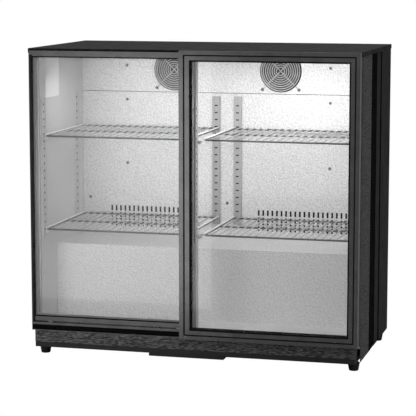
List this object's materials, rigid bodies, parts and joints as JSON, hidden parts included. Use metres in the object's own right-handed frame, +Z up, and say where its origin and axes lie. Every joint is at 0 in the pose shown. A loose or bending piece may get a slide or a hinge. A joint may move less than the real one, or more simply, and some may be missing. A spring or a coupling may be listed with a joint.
{
  "type": "under counter fridge",
  "caption": "Low commercial display fridge with sliding glass doors, wire shelves, fan-cooled back wall and a machine step at the rear.",
  "frame": {"origin": "centre of the footprint, on the floor", "axes": "+X to the right across the front, +Y from the front to the back, +Z up"},
  "size_m": [0.9, 0.5, 0.835],
  "materials": {
    "case_black": "fine textured powder coat",
    "trim_dark": "satin dark anodised",
    "base_black": "plain black powder coat",
    "galvanised": "zinc coated sheet",
    "embossed_aluminium": "stucco embossed",
    "liner_white": "smooth coated sheet",
    "wire_chrome": "bright",
    "steel": "satin",
    "aluminium_smooth": "smooth satin",
    "glass_clear": "clear",
    "spacer_bar": "dark satin",
    "gasket_rubber": "matt",
    "plastic_black": "fine grained",
    "plastic_white": "satin",
    "foam": "rigid polyurethane foam",
    "copper": "bare copper tube",
    "fin_aluminium": "fin block",
    "compressor_black": "gloss black enamel",
    "label_paper": "blank printed film"
  },
  "bodies": {
    "cabinet": {"top_panel": "case_black", "side_panel_left": "case_black", "side_panel_right": "case_black", "rear_panel": "galvanised", "rear_grille": "base_black", "base_tray": "base_black", "plinth": "case_black", "condensate_tray": "base_black", "foam_insulation": "foam", "liner_left": "liner_white", "liner_right": "liner_white", "liner_ceiling": "liner_white", "liner_floor": "liner_white", "step_front": "embossed_aluminium", "step_top": "embossed_aluminium", "liner_back": "embossed_aluminium", "fan_panel": "embossed_aluminium", "duct_panel": "embossed_aluminium", "panel_screws": "steel", "shelf_standards": "aluminium_smooth", "centre_post": "aluminium_smooth", "shelf_clips": "steel", "wall_label": "label_paper", "shelf_upper_left": "wire_chrome", "shelf_upper_right": "wire_chrome", "shelf_lower_left": "wire_chrome", "shelf_lower_right": "wire_chrome", "fan_guards": "wire_chrome", "fan_motors": "plastic_black", "evaporator": "fin_aluminium", "compressor": "compressor_black", "compressor_mounts": "gasket_rubber", "condenser": "fin_aluminium", "condenser_fan_motor": "plastic_black", "refrigerant_pipes": "copper", "control_plate": "galvanised", "cable_gland": "plastic_black", "header_track": "trim_dark", "sill_track": "trim_dark", "jambs": "trim_dark"},
    "front_door": {"front_door_frame": "trim_dark", "front_door_glass": "glass_clear", "front_door_spacer": "spacer_bar", "front_door_gasket": "gasket_rubber"},
    "rear_door": {"rear_door_frame": "trim_dark", "rear_door_glass": "glass_clear", "rear_door_spacer": "spacer_bar"},
    "front_door_roller_left": {"front_door_roller_left": "plastic_white"},
    "front_door_roller_right": {"front_door_roller_right": "plastic_white"},
    "rear_door_roller_left": {"rear_door_roller_left": "plastic_white"},
    "rear_door_roller_right": {"rear_door_roller_right": "plastic_white"},
    "fan_impeller_left": {"fan_impeller_left": "plastic_black"},
    "fan_impeller_right": {"fan_impeller_right": "plastic_black"},
    "condenser_fan_blade": {"condenser_fan_blade": "plastic_black"},
    "thermostat_knob": {"thermostat_knob": "plastic_black"},
    "power_switch": {"power_switch": "plastic_black"},
    "foot_front_left": {"foot_front_left": "base_black"},
    "foot_front_right": {"foot_front_right": "base_black"},
    "foot_rear_left": {"foot_rear_left": "base_black"},
    "foot_rear_right": {"foot_rear_right": "base_black"}
  },
  "joints": [
    {"name": "front_door_slide", "type": "slide", "parent": "cabinet", "child": "front_door", "axis": [1, 0, 0], "range_m": [-0.42, 0]},
    {"name": "rear_door_slide", "type": "slide", "parent": "cabinet", "child": "rear_door", "axis": [1, 0, 0], "range_m": [0, 0.44]},
    {"name": "front_door_roller_left_turn", "type": "hinge", "parent": "front_door", "child": "front_door_roller_left", "pos_m": [0.06, -0.224, 0.0803], "axis": [0, 1, 0], "continuous": true},
    {"name": "front_door_roller_right_turn", "type": "hinge", "parent": "front_door", "child": "front_door_roller_right", "pos_m": [0.4, -0.224, 0.0803], "axis": [0, 1, 0], "continuous": true},
    {"name": "rear_door_roller_left_turn", "type": "hinge", "parent": "rear_door", "child": "rear_door_roller_left", "pos_m": [-0.4, -0.213, 0.0993], "axis": [0, 1, 0], "continuous": true},
    {"name": "rear_door_roller_right_turn", "type": "hinge", "parent": "rear_door", "child": "rear_door_roller_right", "pos_m": [-0.04, -0.213, 0.0993], "axis": [0, 1, 0], "continuous": true},
    {"name": "fan_left_turn", "type": "hinge", "parent": "cabinet", "child": "fan_impeller_left", "pos_m": [-0.154, 0.176, 0.76], "axis": [0, 1, 0], "continuous": true},
    {"name": "fan_right_turn", "type": "hinge", "parent": "cabinet", "child": "fan_impeller_right", "pos_m": [0.154, 0.176, 0.76], "axis": [0, 1, 0], "continuous": true},
    {"name": "condenser_fan_turn", "type": "hinge", "parent": "cabinet", "child": "condenser_fan_blade", "pos_m": [0.2, 0.161, 0.15], "axis": [0, 1, 0], "continuous": true},
    {"name": "thermostat_turn", "type": "hinge", "parent": "cabinet", "child": "thermostat_knob", "pos_m": [0.33, 0.24, 0.221], "axis": [0, 1, 0], "range_deg": [0, 270]},
    {"name": "power_switch_rock", "type": "hinge", "parent": "cabinet", "child": "power_switch", "pos_m": [0.376, 0.232, 0.221], "axis": [1, 0, 0], "range_deg": [0, 10]},
    {"name": "foot_front_left_screw", "type": "hinge", "parent": "cabinet", "child": "foot_front_left", "pos_m": [-0.428, -0.178, 0.01], "axis": [0, 0, 1], "continuous": true},
    {"name": "foot_front_right_screw", "type": "hinge", "parent": "cabinet", "child": "foot_front_right", "pos_m": [0.428, -0.178, 0.01], "axis": [0, 0, 1], "continuous": true},
    {"name": "foot_rear_left_screw", "type": "hinge", "parent": "cabinet", "child": "foot_rear_left", "pos_m": [-0.428, 0.205, 0.01], "axis": [0, 0, 1], "continuous": true},
    {"name": "foot_rear_right_screw", "type": "hinge", "parent": "cabinet", "child": "foot_rear_right", "pos_m": [0.428, 0.205, 0.01], "axis": [0, 0, 1], "continuous": true}
  ],
  "couplings": [
    {"joint": "front_door_roller_left_turn", "follows": "front_door_slide", "rad_per_m": 166.67},
    {"joint": "front_door_roller_right_turn", "follows": "front_door_slide", "rad_per_m": 166.67},
    {"joint": "rear_door_roller_left_turn", "follows": "rear_door_slide", "rad_per_m": 142.86},
    {"joint": "rear_door_roller_right_turn", "follows": "rear_door_slide", "rad_per_m": 142.86}
  ]
}
